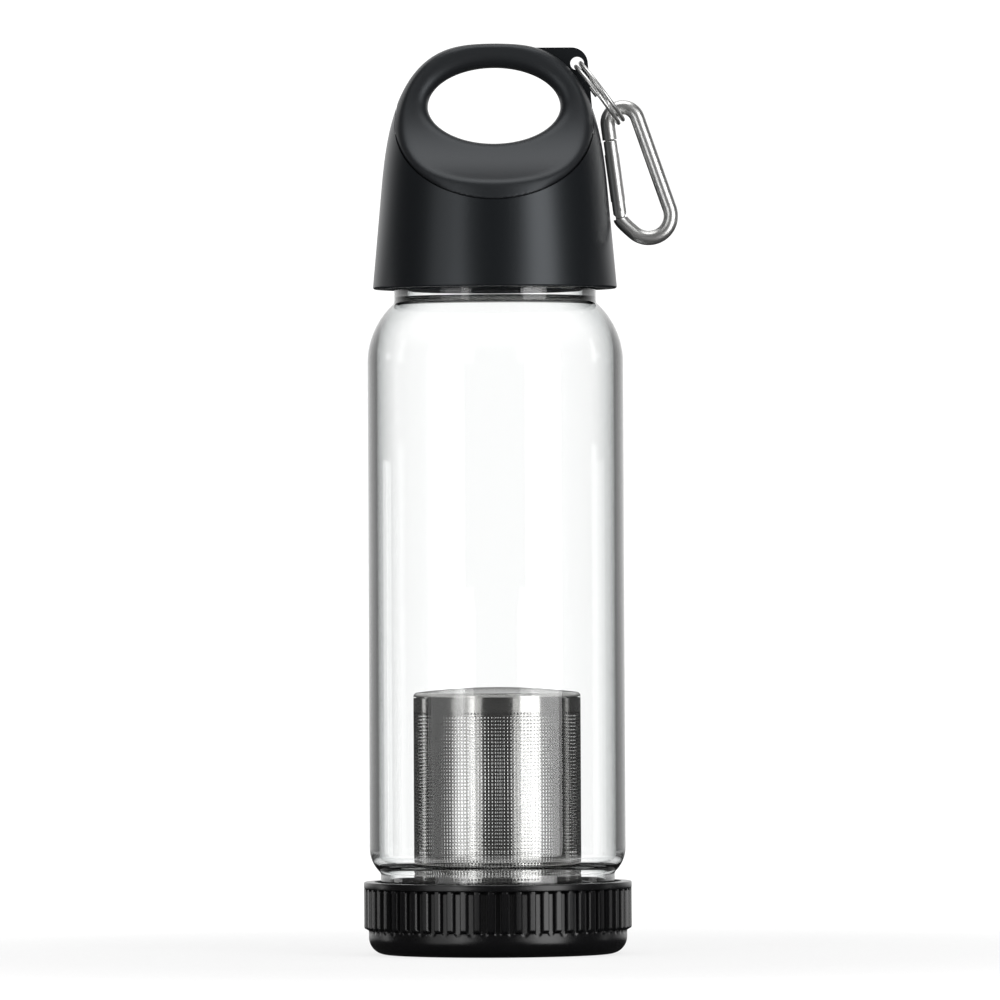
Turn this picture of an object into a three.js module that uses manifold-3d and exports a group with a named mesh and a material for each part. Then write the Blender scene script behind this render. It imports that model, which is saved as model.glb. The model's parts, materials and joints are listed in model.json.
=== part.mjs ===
// Glass tea infuser tumbler: an open-ended glass tube between a screw-on ribbed base, which carries an
// upright steel infuser basket, and a screw-on lid with a finger loop, a split ring and a small carabiner.
// Millimetres, +Z up. The origin is the centre of the base's flat underside, and the front faces -Y.

import * as THREE from 'three';
import { mergeVertices } from 'three/addons/utils/BufferGeometryUtils.js';
import Module from 'manifold-3d';

const wasm = await Module();
wasm.setup();

// Clearances between pieces
const seatGap = 0.3;
const pinGap = 0.1;
const slotGap = 0.2;

// Glass tube
const glassHeight = 185;
const glassRadius = 35;
const glassWall = 2.5;
const lowerNeckStep = 3;
const lowerNeckHeight = 12.8;
const heelRadius = 9;
const heelFillet = 1.2;
const upperNeckRadius = 27.6;
const upperNeckHeight = 15.4;
const shoulderRadius = 21.9;
const shoulderFillet = 3;

// Base cap
const baseHeight = 19.8;
const baseWall = 1.6;
const baseFloor = 2.6;
const baseCorner = 4.7;
const baseThreadRoom = 1.7;
const gasketLedgeHeight = 6.4;
const gasketLedgeWidth = 4.7;
const flangeThickness = 1.9;
const ribCount = 60;
const ribDepth = 1.3;
const ribWidth = 2.1;
const ribStart = 6.4;
const ribEndSlope = 0.9;
const ribSetback = 0.1;
const bossWall = 1.4;
const bossHeight = 6;

// Silicone gaskets
const gasketThickness = 2;
const gasketWidth = 4.4;

// Infuser basket
const basketRoom = 6.65;
const basketWall = 0.4;
const basketHeight = 65.7;
const capShoulder = 1.2;
const capDomeRise = 1.35;
const capSpigotHeight = 4.4;
const collarWall = 1.15;
const collarLip = 1.6;
const collarLipThickness = 1.1;
const collarFlange = 1.9;
const collarFlangeThickness = 1.5;

// Lid
const lidOverlap = 12.3;
const lidHeight = 66.9;
const lidDraft = 0.0885;
const lidEdgeChamfer = 0.6;
const domeStart = 24.3;
const domeExponent = 3;
const skirtWall = 3.05;
const linerWall = 1.2;
const linerThreadRoom = 1.2;
const linerCeiling = 1.8;
const linerInset = 0.5;
const crownRoof = 4.7;
const crownCavityStep = 3.2;
const loopHalfThickness = 7.5;
const loopTopThickness = 6.2;
const loopSideThickness = 8.4;
const fingerHoleHalfHeight = 10.8;
const dishRadius = 38;
const dishAxisDrop = 3.6;

// Soft grip moulded over the loop
const gripThickness = 1.6;
const gripFlank = 1.3;
const gripBelowHole = 15.5;
const gripMiddleDrop = 5.6;
const gripOverTop = 1.4;
const gripFlankRise = 6;
const holeRimRadius = 3;

// Lug for the split ring
const lugThickness = 3.6;
const lugTopDrop = 1;
const lugCorner = 4.5;
const lugLean = 0.09;
const lugFootDrop = 17.3;
const lugRootDepth = 16.5;
const lugHoleRadius = 1.9;
const lugHoleEdge = 4;
const lugHoleDrop = 4.35;

// Split ring
const ringDiameter = 20.5;
const ringWire = 1.1;
const ringTurnGap = 0.45;
const ringJog = THREE.MathUtils.degToRad(40);
const ringHang = THREE.MathUtils.degToRad(53.13);
const ringSlack = 0.4;

// Carabiner
const carabinerWire = 4;
const carabinerLean = THREE.MathUtils.degToRad(7.5);
const archRadius = 4.2;
const archOffset = 0.5;
const archAboveRing = 3.75;
const bowRadius = 6.1;
const bowDrop = 26.15;
const bowOffset = 3.5;
const heelAngle = THREE.MathUtils.degToRad(222);
const noseLength = 4.15;
const gateLength = 21.2;
const tongueThickness = 1.3;
const tongueHalfWidth = 1.3;
const latchSlotDepth = 3.7;
const latchDrop = 1.5;
const latchPinRadius = 0.5;
const rivetRadius = 0.7;
const heelSlotDepth = 4.6;
const gateBoreRadius = 1.15;
const springWire = 0.36;
const springTurns = 7;
const springPitch = 0.95;
const plungerLength = 2.4;

// Facets
const roundFacets = 40;
const smallFacets = 16;
const arcSteps = 5;
const filletSteps = 2;
const rimSteps = 4;
const domeSteps = 11;
const dishFacets = 88;
const holeFacets = 40;
const holeRimSteps = 4;
const capDomeSteps = 4;

const colours = {
  blackPlastic: { color: 0x17181a, roughness: 0.4, metalness: 0 },
  glossPlastic: { color: 0x101012, roughness: 0.22, metalness: 0 },
  softGrip: { color: 0x34383b, roughness: 0.62, metalness: 0 },
  silicone: { color: 0xd9d9d4, roughness: 0.55, metalness: 0 },
  clearGlass: { color: 0xf2f6f5, roughness: 0.03, metalness: 0, transparent: true, opacity: 0.3 },
  steel: { color: 0xb9b8b4, roughness: 0.25, metalness: 1 },
  chrome: { color: 0xd2d2d0, roughness: 0.12, metalness: 1 },
};

const model = new THREE.Group();

function addPart(parent, name, geometry, finish) {
  const mesh = new THREE.Mesh(geometry, new THREE.MeshStandardMaterial(finish));
  mesh.name = name;
  parent.add(mesh);
}

// Turns a closed geometry into a solid, with shared vertices merged and empty triangles dropped
function solidOf(geometry) {
  const bare = geometry.clone();
  bare.deleteAttribute('normal');
  bare.deleteAttribute('uv');
  const merged = mergeVertices(bare, 1e-4);
  const triangles = [];
  for (let i = 0; i < merged.index.count; i += 3) {
    const corners = [0, 1, 2].map((k) => merged.index.getX(i + k));
    if (new Set(corners).size === 3) triangles.push(...corners);
  }
  return new wasm.Manifold(new wasm.Mesh({
    numProp: 3,
    vertProperties: new Float32Array(merged.attributes.position.array),
    triVerts: new Uint32Array(triangles),
  }));
}

function geometryOf(solid) {
  const mesh = solid.getMesh();
  const geometry = new THREE.BufferGeometry();
  geometry.setAttribute('position', new THREE.BufferAttribute(new Float32Array(mesh.vertProperties), 3));
  geometry.setIndex(new THREE.BufferAttribute(new Uint32Array(mesh.triVerts), 1));
  geometry.computeVertexNormals();
  return geometry;
}

// A profile of [radius, height] pairs turned about Z. It starts and ends on the axis, or is closed here.
// The points run round the section anticlockwise, so that the faces point outwards.
function revolve(profile, facets = roundFacets) {
  const points = profile.map(([radius, height]) => new THREE.Vector2(radius, height));
  const onAxis = points[0].x === 0 && points.at(-1).x === 0;
  if (!onAxis) points.push(points[0].clone());
  return solidOf(new THREE.LatheGeometry(points, facets).rotateX(Math.PI / 2));
}

// Points of an arc, angles in radians from the +X axis
function arc(x, y, radius, from, to, steps = arcSteps) {
  return Array.from({ length: steps + 1 }, (_, i) => {
    const angle = from + ((to - from) * i) / steps;
    return [x + radius * Math.cos(angle), y + radius * Math.sin(angle)];
  });
}

// A flat shape in the XZ plane, thickened about y = 0
function plate(shape, thickness, curveSegments = 12) {
  const geometry = new THREE.ExtrudeGeometry(shape, { depth: thickness, bevelEnabled: false, curveSegments });
  return solidOf(geometry.rotateX(Math.PI / 2).translate(0, thickness / 2, 0));
}

function shapeOf(points) {
  return new THREE.Shape(points.map(([x, y]) => new THREE.Vector2(x, y)));
}

function ellipse(x, z, halfWidth, halfHeight) {
  const shape = new THREE.Shape();
  shape.absellipse(x, z, halfWidth, halfHeight, 0, Math.PI * 2);
  return shape;
}

// A round bar along Y through the point (x, z)
function crossBar(x, z, radius, length, facets = smallFacets) {
  return solidOf(new THREE.CylinderGeometry(radius, radius, length, facets).translate(x, 0, z));
}

function boxSolid(width, depth, height, x, y, z) {
  return solidOf(new THREE.BoxGeometry(width, depth, height).translate(x, y, z));
}

// A round wire along a curve
function wire(curve, radius, steps, sides) {
  const section = shapeOf(arc(0, 0, radius, 0, (2 * Math.PI * (sides - 1)) / sides, sides - 1));
  return new THREE.ExtrudeGeometry(section, { steps, bevelEnabled: false, extrudePath: curve });
}

// A closed ring through a row of sections, each a loop of as many points
function ringSolid(sections, flipped) {
  const count = sections[0].length;
  const triangles = sections.flatMap((section, i) => section.flatMap((_, k) => {
    const next = (i + 1) % sections.length;
    const along = (k + 1) % count;
    const quad = [i * count + k, i * count + along, next * count + along, next * count + k];
    const [a, b, c, d] = flipped ? quad.reverse() : quad;
    return [a, b, c, a, c, d];
  }));
  const geometry = new THREE.BufferGeometry().setFromPoints(sections.flat());
  geometry.setIndex(triangles);
  return solidOf(geometry);
}

// Least gap between turns of a wound wire, measured between points more than half a turn apart
function printTurnGap(name, curve, wireDiameter, turns) {
  const perTurn = 48;
  const count = Math.round(perTurn * turns);
  const points = Array.from({ length: count + 1 }, (_, i) => curve.getPoint(i / count));
  let least = Infinity;
  for (let i = 0; i < count; i += 1) {
    for (let j = i + perTurn / 2; j <= count; j += 1) {
      least = Math.min(least, points[i].distanceTo(points[j]) - wireDiameter);
    }
  }
  console.log(`${name}: least gap between turns ${least.toFixed(2)} mm`);
}

// The tube steps in to its lower neck, and the basket goes in through that neck with room round it
const lowerNeckRadius = glassRadius - lowerNeckStep;
const basketRadius = lowerNeckRadius - glassWall - basketRoom;

// Base cap: a moulded bowl with vertical grip ribs, a gasket ledge and a boss ring for the infuser
const baseInner = lowerNeckRadius + baseThreadRoom;
const bowlRadius = baseInner + baseWall;
const flangeRadius = bowlRadius + ribDepth;
const ledgeInner = baseInner - gasketLedgeWidth;
const collarInner = basketRadius + seatGap;
const collarRadius = collarInner + collarWall;
const bossInner = collarRadius + seatGap;
const bossTop = baseFloor + bossHeight;
const flangeUnderside = baseHeight - flangeThickness;

function makeBaseCap() {
  const bowl = revolve([
    [0, 0],
    ...arc(bowlRadius - baseCorner, baseCorner, baseCorner, -Math.PI / 2, 0),
    [bowlRadius, flangeUnderside],
    [flangeRadius, flangeUnderside],
    [flangeRadius, baseHeight],
    [baseInner, baseHeight],
    [baseInner, gasketLedgeHeight],
    [ledgeInner, gasketLedgeHeight],
    [ledgeInner, baseFloor],
    [bossInner + bossWall, baseFloor],
    [bossInner + bossWall, bossTop],
    [bossInner, bossTop],
    [bossInner, baseFloor],
    [0, baseFloor],
  ], ribCount);
  // Each rib is rooted in the wall and ends below in a short slope, under the flange that it runs into
  const root = baseWall / 2;
  const ribSection = shapeOf([
    [bowlRadius - root, ribStart],
    [bowlRadius, ribStart],
    [flangeRadius - ribSetback, ribStart + ribEndSlope],
    [flangeRadius - ribSetback, flangeUnderside + flangeThickness / 2],
    [bowlRadius - root, flangeUnderside + flangeThickness / 2],
  ]);
  const rib = plate(ribSection, ribWidth);
  const ribs = Array.from({ length: ribCount }, (_, i) => rib.rotate([0, 0, ((i + 0.5) * 360) / ribCount]));
  return ribs.reduce((sum, next) => sum.add(next), bowl);
}

// Gasket: a flat silicone ring under a rim of the glass
function makeGasket(outerRadius, underside) {
  const inner = outerRadius - gasketWidth;
  return revolve([
    [inner, underside],
    [outerRadius, underside],
    [outerRadius, underside + gasketThickness],
    [inner, underside + gasketThickness],
  ]);
}

const baseGasketUnderside = gasketLedgeHeight + seatGap;
const glassBottom = baseGasketUnderside + gasketThickness + seatGap;
const glassTop = glassBottom + glassHeight;

// Half the glass wall's outline, offset inwards by inset. The arcs stay concentric, so they stay tangent.
function glassOutline(inset) {
  const heelArc = heelRadius - inset;
  const heelCurve = heelFillet + inset;
  const heelX = glassRadius - heelRadius;
  const heelTurn = Math.acos((lowerNeckRadius + heelFillet - heelX) / (heelRadius + heelFillet));
  const heelZ = glassBottom + lowerNeckHeight + (heelRadius + heelFillet) * Math.sin(heelTurn);
  const shoulderArc = shoulderRadius - inset;
  const shoulderCurve = shoulderFillet + inset;
  const shoulderX = glassRadius - shoulderRadius;
  const shoulderReach = shoulderRadius + shoulderFillet;
  const shoulderTurn = Math.acos((upperNeckRadius + shoulderFillet - shoulderX) / shoulderReach);
  const shoulderZ = glassTop - upperNeckHeight - shoulderReach * Math.sin(shoulderTurn);
  return [
    ...arc(lowerNeckRadius + heelFillet, glassBottom + lowerNeckHeight, heelCurve,
      Math.PI, Math.PI - heelTurn, filletSteps),
    ...arc(heelX, heelZ, heelArc, -heelTurn, 0).slice(1),
    ...arc(shoulderX, shoulderZ, shoulderArc, 0, shoulderTurn),
    ...arc(upperNeckRadius + shoulderFillet, glassTop - upperNeckHeight, shoulderCurve,
      Math.PI + shoulderTurn, Math.PI, filletSteps).slice(1),
  ];
}

// Glass body: one blown tube, necked in at both ends, with fire-polished rims
function makeGlass() {
  const rim = glassWall / 2;
  return revolve([
    ...arc(lowerNeckRadius - rim, glassBottom + rim, rim, Math.PI, 2 * Math.PI, rimSteps),
    ...glassOutline(0),
    ...arc(upperNeckRadius - rim, glassTop - rim, rim, 0, Math.PI, rimSteps),
    ...glassOutline(glassWall).reverse(),
  ]);
}

// Infuser: a perforated steel sleeve, a pressed domed cap in its top and a moulded collar round its foot
const collarUnderside = baseFloor + seatGap;
const sleeveBottom = collarUnderside + collarLipThickness + seatGap;
const sleeveTop = sleeveBottom + basketHeight;

function makeSleeve() {
  return revolve([
    [basketRadius - basketWall, sleeveBottom],
    [basketRadius, sleeveBottom],
    [basketRadius, sleeveTop],
    [basketRadius - basketWall, sleeveTop],
  ]);
}

// The cap's top is a rounded shoulder and a shallow dome, and its spigot stands inside the sleeve
function makeInfuserCap() {
  const underside = sleeveTop + seatGap;
  const spigotRadius = basketRadius - basketWall - seatGap;
  const domeFoot = basketRadius - capShoulder;
  const shoulderTop = underside + capShoulder;
  const dome = (drop) => Array.from({ length: capDomeSteps }, (_, i) => {
    const reach = (i + 1) / capDomeSteps;
    return [domeFoot * (1 - reach), shoulderTop - drop + capDomeRise * (1 - (1 - reach) ** 2)];
  });
  return revolve([
    [spigotRadius - basketWall, sleeveTop - capSpigotHeight],
    [spigotRadius, sleeveTop - capSpigotHeight],
    [spigotRadius, underside],
    [basketRadius, underside],
    ...arc(domeFoot, underside, capShoulder, 0, Math.PI / 2, filletSteps + 1).slice(1),
    ...dome(0),
    ...dome(basketWall).reverse(),
    [spigotRadius - basketWall, underside],
  ]);
}

function makeCollar() {
  const flangeTop = bossTop + seatGap + collarFlangeThickness;
  return revolve([
    [collarInner - collarLip, collarUnderside],
    [collarRadius, collarUnderside],
    [collarRadius, bossTop + seatGap],
    [collarRadius + collarFlange, bossTop + seatGap],
    [collarRadius + collarFlange, flangeTop],
    [collarInner, flangeTop],
    [collarInner, collarUnderside + collarLipThickness],
    [collarInner - collarLip, collarUnderside + collarLipThickness],
  ]);
}

// Lid: the outer form is a drafted skirt that closes in a superellipse dome
const lidBottom = glassTop - lidOverlap;
const lidTop = lidBottom + lidHeight;
const linerInner = upperNeckRadius + linerThreadRoom;
const linerRadius = linerInner + linerWall;
const shellInner = linerRadius + seatGap;
const lidRadius = shellInner + skirtWall;
const lidGasketUnderside = glassTop + seatGap;
const ceilingUnderside = lidGasketUnderside + gasketThickness + seatGap;
const linerTop = ceilingUnderside + linerCeiling;

function lidRadiusAt(z) {
  const rise = THREE.MathUtils.clamp((z - lidBottom - domeStart) / (lidHeight - domeStart), 0, 1);
  const drafted = lidRadius - lidDraft * (z - lidBottom);
  return drafted * (1 - rise ** domeExponent) ** (1 / domeExponent);
}

// The lid's outer form, offset inwards all round by inset
function lidForm(inset, bottom) {
  const domeFoot = lidBottom + domeStart;
  const domeRise = lidHeight - domeStart - inset;
  const dome = Array.from({ length: domeSteps }, (_, i) => {
    const turn = ((Math.PI / 2) * i) / domeSteps;
    const z = domeFoot + domeRise * Math.sin(turn) ** (2 / domeExponent);
    const drafted = lidRadius - inset - lidDraft * (z - lidBottom);
    return [drafted * Math.cos(turn) ** (2 / domeExponent), z];
  });
  const bottomRadius = lidRadius - inset - lidDraft * (bottom - lidBottom);
  return revolve([
    [0, bottom],
    [bottomRadius - lidEdgeChamfer, bottom],
    [bottomRadius, bottom + lidEdgeChamfer],
    ...dome,
    [0, domeFoot + domeRise],
  ]);
}

const fingerHoleZ = lidTop - loopTopThickness - fingerHoleHalfHeight;
const fingerHoleHalfWidth = lidRadiusAt(fingerHoleZ) - loopSideThickness;

function fingerHole(growth) {
  const outline = ellipse(0, fingerHoleZ, fingerHoleHalfWidth + growth, fingerHoleHalfHeight + growth);
  return plate(outline, 4 * lidRadius, holeFacets / 2);
}

// The finger loop: dishes front and back, on axes along X, and an elliptical hole through both
function cutLoop(form, inset) {
  const length = 4 * lidRadius;
  const dishZ = lidTop - dishAxisDrop;
  const dishY = dishRadius + loopHalfThickness;
  const dish = new THREE.CylinderGeometry(dishRadius + inset, dishRadius + inset, length, dishFacets);
  const front = solidOf(dish.rotateZ(Math.PI / 2).translate(0, -dishY, dishZ));
  const back = front.translate([0, 2 * dishY, 0]);
  return form.subtract(front).subtract(back).subtract(fingerHole(inset));
}

// The lug is a flat tab in the middle plane, rooted in the right side of the loop, with an edge that leans in
// like the lid's side
const lugTop = lidTop - lugTopDrop;
const lugFoot = lidTop - lugFootDrop;
const lugEdge = lidRadiusAt(lugFoot);
const lugHole = { x: lugEdge - lugHoleEdge, z: lugTop - lugHoleDrop };

function makeLug(growth, holeInset) {
  const rootX = lugEdge - lugRootDepth;
  const lean = Math.atan(lugLean);
  const cornerZ = lugTop - lugCorner;
  const cornerX = lugEdge - lugLean * (cornerZ - lugFoot) - lugCorner / Math.cos(lean);
  return plate(shapeOf([
    [rootX - growth, lugFoot - growth],
    [lugEdge + growth * (lugLean + 1 / Math.cos(lean)), lugFoot - growth],
    ...arc(cornerX, cornerZ, lugCorner + growth, lean, Math.PI / 2),
    [rootX - growth, lugTop + growth],
  ]), lugThickness + 2 * growth).subtract(fingerHole(holeInset));
}

// The outline that the soft grip fills, seen from the front: a half ellipse below, and above it the lid's own
// outline less a hard flank, which narrows to nothing and leaves the grip the whole width of the loop
function gripZone(growth) {
  const middle = fingerHoleZ - gripMiddleDrop;
  const halfWidth = lidRadiusAt(middle) - gripFlank + growth;
  const drop = fingerHoleHalfHeight + gripBelowHole - gripMiddleDrop + growth;
  const steps = 28;
  const right = Array.from({ length: steps + 1 }, (_, i) => {
    const turn = Math.PI * (i / steps - 0.5);
    if (turn < 0) return [halfWidth * Math.cos(turn), middle + drop * Math.sin(turn)];
    const above = (lidTop - middle) * Math.sin(turn);
    const flank = gripFlank * (1 - above / gripFlankRise);
    return [lidRadiusAt(middle + above) - flank + growth, middle + above];
  });
  right.push([right[steps][0], lidTop + gripOverTop]);
  const left = right.slice(1).reverse().map(([x, z]) => [-x, z]);
  return plate(shapeOf([...right, ...left]), 4 * lidRadius);
}

// The hard shell: everything outside the grip, the core under the grip and the lug, hollow from below
function makeLidShell(outer) {
  const coreInset = gripThickness + seatGap;
  const core = cutLoop(lidForm(coreInset, lidBottom + domeStart / 2), coreInset);
  const crownFoot = linerTop + seatGap;
  const crownRadius = shellInner - crownCavityStep;
  const crownHeight = fingerHoleZ - fingerHoleHalfHeight - coreInset - crownRoof - crownFoot;
  const hollow = revolve([
    [0, lidBottom - skirtWall],
    [shellInner, lidBottom - skirtWall],
    [shellInner, crownFoot],
    ...arc(0, 0, 1, 0, Math.PI / 2).slice(0, -1).map(
      ([across, up]) => [crownRadius * across, crownFoot + crownHeight * up]),
    [0, crownFoot + crownHeight],
  ]);
  const eye = crossBar(lugHole.x, lugHole.z, lugHoleRadius, 3 * lugThickness, 2 * smallFacets);
  const solid = outer.subtract(gripZone(seatGap)).add(core).add(makeLug(0, coreInset));
  return solid.subtract(hollow).subtract(eye);
}

// What a ball takes off as it rolls round the rim between the hole's wall and a dish, as a closed ring. Each
// section is the arc between the ball's two contacts, closed outside the rim.
function rimCutter(side) {
  const axis = new THREE.Vector3(0, side * (dishRadius + loopHalfThickness), lidTop - dishAxisDrop);
  const sections = Array.from({ length: holeFacets }, (_, i) => {
    const turn = (2 * Math.PI * i) / holeFacets;
    const rim = new THREE.Vector3(
      fingerHoleHalfWidth * Math.cos(turn), 0, fingerHoleZ + fingerHoleHalfHeight * Math.sin(turn));
    const outward = new THREE.Vector3(
      fingerHoleHalfHeight * Math.cos(turn), 0, fingerHoleHalfWidth * Math.sin(turn)).normalize();
    const centre = rim.clone().addScaledVector(outward, holeRimRadius);
    centre.y = axis.y - side * Math.sqrt((dishRadius + holeRimRadius) ** 2 - (centre.z - axis.z) ** 2);
    rim.y = axis.y - side * Math.sqrt(dishRadius ** 2 - (rim.z - axis.z) ** 2);
    const toWall = outward.clone().negate();
    const toDish = axis.clone().sub(centre).setX(0).normalize();
    const span = toWall.angleTo(toDish);
    const contacts = Array.from({ length: holeRimSteps + 1 }, (_unused, k) => {
      const part = (span * k) / holeRimSteps;
      const direction = toWall.clone().multiplyScalar(Math.sin(span - part) / Math.sin(span));
      direction.addScaledVector(toDish, Math.sin(part) / Math.sin(span));
      return direction.multiplyScalar(holeRimRadius).add(centre);
    });
    const closing = [
      contacts[holeRimSteps].clone().add(toDish),
      rim.clone().add(toDish).add(toWall),
      contacts[0].clone().add(toWall),
    ];
    return [...contacts, ...closing];
  });
  return ringSolid(sections, side < 0);
}

// The soft grip over the loop: a skin of even thickness on the core, with the hole's rims rounded
function makeLidGrip(outer) {
  const core = cutLoop(lidForm(gripThickness, lidBottom + domeStart / 2), gripThickness);
  const rounded = outer.subtract(rimCutter(-1)).subtract(rimCutter(1));
  return rounded.intersect(gripZone(0)).subtract(core).subtract(makeLug(seatGap, gripThickness));
}

// The threaded liner that the shell is closed with
function makeLiner() {
  const bottom = lidBottom + linerInset;
  return revolve([
    [0, ceilingUnderside],
    [linerInner, ceilingUnderside],
    [linerInner, bottom],
    [linerRadius, bottom],
    [linerRadius, linerTop],
    [0, linerTop],
  ]);
}

// Split ring: two turns of wire that step across to the second layer in a short jog
class SplitRingCurve extends THREE.Curve {
  getPoint(t, target = new THREE.Vector3()) {
    const pitch = ringWire + ringTurnGap;
    const radius = (ringDiameter - ringWire) / 2;
    const start = Math.PI / 2;
    const turned = t * (4 * Math.PI - ringJog);
    const jogged = THREE.MathUtils.smoothstep(turned, 2 * Math.PI - ringJog, 2 * Math.PI);
    const angle = start + turned;
    return target.set(radius * Math.cos(angle), radius * Math.sin(angle), pitch * (jogged - 0.5));
  }
}

// Carabiner outline in its own plane: the gate line is parallel to v, and the ring bears at the origin
const wireRadius = carabinerWire / 2;
const archCentre = { x: archOffset, z: archAboveRing - archRadius };
const bowCentre = { x: archCentre.x + bowOffset, z: archCentre.z - bowDrop };
const gateX = archCentre.x - archRadius;
const noseEnd = archCentre.z - noseLength;
const gateTop = noseEnd - seatGap;
const gateBottom = gateTop - gateLength;
const rivetZ = gateBottom + wireRadius;
const frameEnd = gateBottom - seatGap;
const latchPinZ = gateTop - latchDrop;

class CarabinerCurve extends THREE.Curve {
  constructor() {
    super();
    const across = bowCentre.x - archCentre.x;
    const down = bowCentre.z - archCentre.z;
    const tangent = Math.atan2(down, across) + Math.acos((archRadius - bowRadius) / Math.hypot(across, down));
    const path = new THREE.Path();
    path.moveTo(gateX, noseEnd);
    path.lineTo(gateX, archCentre.z);
    path.absarc(archCentre.x, archCentre.z, archRadius, Math.PI, tangent, true);
    path.absarc(bowCentre.x, bowCentre.z, bowRadius, tangent, heelAngle - 2 * Math.PI, true);
    const leave = path.currentPoint.clone();
    const run = (leave.x - gateX) / Math.abs(Math.sin(heelAngle));
    path.quadraticCurveTo(gateX, leave.y + run * Math.abs(Math.cos(heelAngle)), gateX, frameEnd);
    this.path = path;
  }

  getPoint(t, target = new THREE.Vector3()) {
    const point = this.path.getPoint(t);
    return target.set(point.x, 0, point.y);
  }
}

function tongue(points) {
  return plate(shapeOf(points), tongueThickness);
}

// The frame: bent wire with a flattened hook at its nose and a flattened, drilled heel for the gate's rivet
function makeCarabinerFrame() {
  const body = solidOf(wire(new CarabinerCurve(), wireRadius, 72, 10));
  const rootDepth = wireRadius;
  const notchTop = latchPinZ + latchPinRadius + slotGap;
  const notchBottom = latchPinZ - latchPinRadius - slotGap;
  const hookEnd = notchBottom - tongueHalfWidth;
  const notchDepth = gateX - latchPinRadius - slotGap;
  const hook = tongue([
    [gateX - tongueHalfWidth, hookEnd + tongueHalfWidth / 2],
    [gateX - tongueHalfWidth / 2, hookEnd],
    [gateX + tongueHalfWidth, notchBottom - slotGap],
    [gateX + tongueHalfWidth, notchBottom],
    [notchDepth, notchBottom],
    [notchDepth, notchTop],
    [gateX + tongueHalfWidth, notchTop],
    [gateX + tongueHalfWidth, noseEnd + rootDepth],
    [gateX - tongueHalfWidth, noseEnd + rootDepth],
  ]);
  const heelTop = wireRadius - slotGap;
  const heel = tongue([
    [gateX - tongueHalfWidth, frameEnd - rootDepth],
    [gateX + tongueHalfWidth, frameEnd - rootDepth],
    ...arc(gateX, rivetZ, heelTop, -Math.PI / 4, (5 * Math.PI) / 4, 10),
  ]);
  const drilled = heel.subtract(crossBar(gateX, rivetZ, rivetRadius + pinGap, carabinerWire));
  return body.add(hook).add(drilled);
}

// The gate: a rod forked at both ends, bored from below for its spring
function makeCarabinerGate() {
  const rod = revolve([
    [0, gateBottom],
    [wireRadius, gateBottom],
    [wireRadius, gateTop],
    [0, gateTop],
  ], smallFacets).translate([gateX, 0, 0]);
  const slot = tongueThickness + 2 * slotGap;
  const width = 2 * carabinerWire;
  const latchSlot = boxSolid(width, slot, 2 * latchSlotDepth, gateX, 0, gateTop);
  const heelSlot = boxSolid(width, slot, 2 * heelSlotDepth, gateX, 0, gateBottom);
  const bore = revolve([
    [0, rivetZ],
    [gateBoreRadius, rivetZ],
    [gateBoreRadius, springTop + seatGap],
    [0, springTop + seatGap],
  ], smallFacets).translate([gateX, 0, 0]);
  const rounding = plate(shapeOf([
    [gateX + width, gateTop + 1],
    [gateX - width, gateTop + 1],
    [gateX - width, gateBottom - 1],
    [gateX - wireRadius, gateBottom - 1],
    [gateX - wireRadius, rivetZ],
    ...arc(gateX, rivetZ, wireRadius, Math.PI, 2 * Math.PI, 10).slice(1),
    [gateX + width, rivetZ],
  ]), width);
  const pinHole = crossBar(gateX, latchPinZ, latchPinRadius + pinGap, width);
  const rivetHole = crossBar(gateX, rivetZ, rivetRadius + pinGap, width);
  return rod.intersect(rounding).subtract(latchSlot).subtract(heelSlot).subtract(bore)
    .subtract(pinHole).subtract(rivetHole);
}

// Spring and plunger stand in the gate's bore, over the heel
const plungerFoot = rivetZ + wireRadius + slotGap;
const plungerRadius = gateBoreRadius - slotGap;
const springFoot = plungerFoot + plungerLength + seatGap;
const springTop = springFoot + springTurns * springPitch + springWire;

class SpringCurve extends THREE.Curve {
  getPoint(t, target = new THREE.Vector3()) {
    const angle = 2 * Math.PI * springTurns * t;
    const radius = plungerRadius - springWire / 2;
    return target.set(radius * Math.cos(angle), radius * Math.sin(angle), springTurns * springPitch * t);
  }
}

function makePlunger() {
  return revolve([
    [0, plungerFoot],
    [plungerRadius, plungerFoot],
    [plungerRadius, plungerFoot + plungerLength],
    [0, plungerFoot + plungerLength],
  ], smallFacets).translate([gateX, 0, 0]);
}

// Assembly, from the base upwards
addPart(model, 'base_cap', geometryOf(makeBaseCap()), colours.glossPlastic);
addPart(model, 'base_gasket',
  geometryOf(makeGasket(baseInner - seatGap, baseGasketUnderside)), colours.silicone);
addPart(model, 'infuser_collar', geometryOf(makeCollar()), colours.blackPlastic);
addPart(model, 'infuser_sleeve', geometryOf(makeSleeve()), colours.steel);
addPart(model, 'infuser_cap', geometryOf(makeInfuserCap()), colours.steel);
addPart(model, 'glass_body', geometryOf(makeGlass()), colours.clearGlass);

const lidOuter = cutLoop(lidForm(0, lidBottom), 0);
addPart(model, 'lid_gasket',
  geometryOf(makeGasket(linerInner - seatGap, lidGasketUnderside)), colours.silicone);
addPart(model, 'lid_liner', geometryOf(makeLiner()), colours.blackPlastic);
addPart(model, 'lid_shell', geometryOf(makeLidShell(lidOuter)), colours.blackPlastic);
addPart(model, 'lid_grip', geometryOf(makeLidGrip(lidOuter)), colours.softGrip);

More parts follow.
